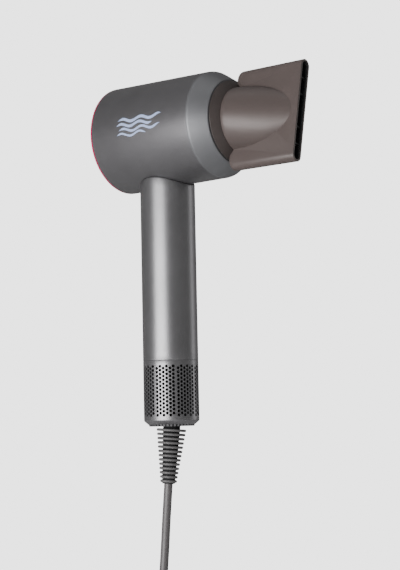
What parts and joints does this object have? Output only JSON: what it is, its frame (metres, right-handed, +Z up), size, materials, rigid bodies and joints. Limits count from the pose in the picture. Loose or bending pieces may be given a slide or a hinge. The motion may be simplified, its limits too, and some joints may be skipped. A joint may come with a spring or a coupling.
{
  "type": "hair dryer",
  "caption": "Handheld hair dryer with an open-bore ring head, a flat turning concentrator nozzle, a round handle with an intake cage, and a coiled mains cord with a plug.",
  "frame": {"origin": "on the handle's centre line, at the middle of the round grip", "axes": "+Z up the handle towards the head, +X the way the air leaves the nozzle, +Y to the dryer's left side"},
  "size_m": [0.2084, 0.0792, 0.5211],
  "materials": {
    "metal_grey": "satin metallic dark grey paint",
    "nose_grey": "satin metallic mid grey paint",
    "accent_fuchsia": "glossy fuchsia",
    "handle_grey": "satin metallic grey paint",
    "nozzle_taupe": "satin dark taupe",
    "trim_dark": "matte dark grey",
    "button_grey": "satin light grey",
    "button_blue": "satin blue",
    "slider_red": "satin red",
    "lens_white": "translucent white",
    "ceramic": "mica and ceramic",
    "bare_steel": "bare steel",
    "heater_wire": "resistance wire",
    "board_green": "circuit board",
    "component_black": "moulded component",
    "connector_ivory": "moulded nylon",
    "motor_alloy": "machined",
    "soft_rubber": "matte rubber",
    "lamination": "laminated steel",
    "copper": "enamelled copper",
    "relief_rubber": "satin rubber",
    "cord_rubber": "smooth grey cord",
    "tie_black": "woven hook-and-loop strap",
    "plug_grey": "satin moulded plug",
    "pin_metal": "nickel-plated brass"
  },
  "bodies": {
    "dryer": {"head_shell": "metal_grey", "rear_bezel": "accent_fuchsia", "bore_sleeve": "metal_grey", "nose_ring": "nose_grey", "nose_magnets": "bare_steel", "heater_frame": "ceramic", "heater_coil": "heater_wire", "heat_shield": "bare_steel", "thermal_cutout": "bare_steel", "thermistor": "component_black", "ion_module": "ceramic", "ion_emitter": "bare_steel", "handle_shell": "handle_grey", "control_panel": "trim_dark", "indicator_lenses": "lens_white", "switch_board": "board_green", "slide_switch": "component_black", "button_switches": "component_black", "board_connector": "connector_ivory", "control_board": "board_green", "board_components": "component_black", "duct_collar": "trim_dark", "motor_housing": "motor_alloy", "motor_mounts": "soft_rubber", "diffuser_vanes": "motor_alloy", "bearing_bridge": "motor_alloy", "motor_bearings": "bare_steel", "stator": "lamination", "stator_windings": "copper", "end_frame": "trim_dark", "filter_mesh": "bare_steel", "cord_clamp": "relief_rubber", "clamp_screws": "bare_steel", "strain_relief": "relief_rubber", "cord_inner": "cord_rubber", "cord": "cord_rubber", "cord_coil": "cord_rubber", "coil_tie": "tie_black", "cord_tail": "cord_rubber", "plug_body": "plug_grey", "plug_pins": "pin_metal"},
    "rotor": {"motor_shaft": "bare_steel", "rotor_magnet": "lamination", "impeller": "motor_alloy"},
    "cage": {"filter_cage": "handle_grey"},
    "slider": {"power_slider": "slider_red"},
    "cool": {"cool_button": "button_blue"},
    "speed": {"speed_button": "button_grey"},
    "heat": {"heat_button": "button_grey"},
    "nozzle_seat": {"nozzle_collar": "nozzle_taupe", "latch_ring": "bare_steel"},
    "nozzle": {"nozzle_shell": "nozzle_taupe", "slot_fins": "nozzle_taupe"}
  },
  "joints": [
    {"name": "nozzle_pull", "type": "slide", "parent": "dryer", "child": "nozzle_seat", "axis": [1, 0, 0], "range_m": [0, 0.03]},
    {"name": "nozzle_turn", "type": "hinge", "parent": "nozzle_seat", "child": "nozzle", "pos_m": [0.065, 0, 0.1025], "axis": [1, 0, 0], "continuous": true},
    {"name": "motor_spin", "type": "hinge", "parent": "dryer", "child": "rotor", "pos_m": [0, 0, -0.035], "axis": [0, 0, 1], "continuous": true},
    {"name": "cage_pull", "type": "slide", "parent": "dryer", "child": "cage", "axis": [0, 0, -1], "range_m": [0, 0.045]},
    {"name": "power_slide", "type": "slide", "parent": "dryer", "child": "slider", "axis": [0, 0, 1], "range_m": [0, 0.006]},
    {"name": "cool_press", "type": "slide", "parent": "dryer", "child": "cool", "axis": [1, 0, 0], "range_m": [0, 0.001], "stiffness_N_per_m": 900},
    {"name": "speed_press", "type": "slide", "parent": "dryer", "child": "speed", "axis": [1, 0, 0], "range_m": [0, 0.001], "stiffness_N_per_m": 900},
    {"name": "heat_press", "type": "slide", "parent": "dryer", "child": "heat", "axis": [1, 0, 0], "range_m": [0, 0.001], "stiffness_N_per_m": 900}
  ]
}
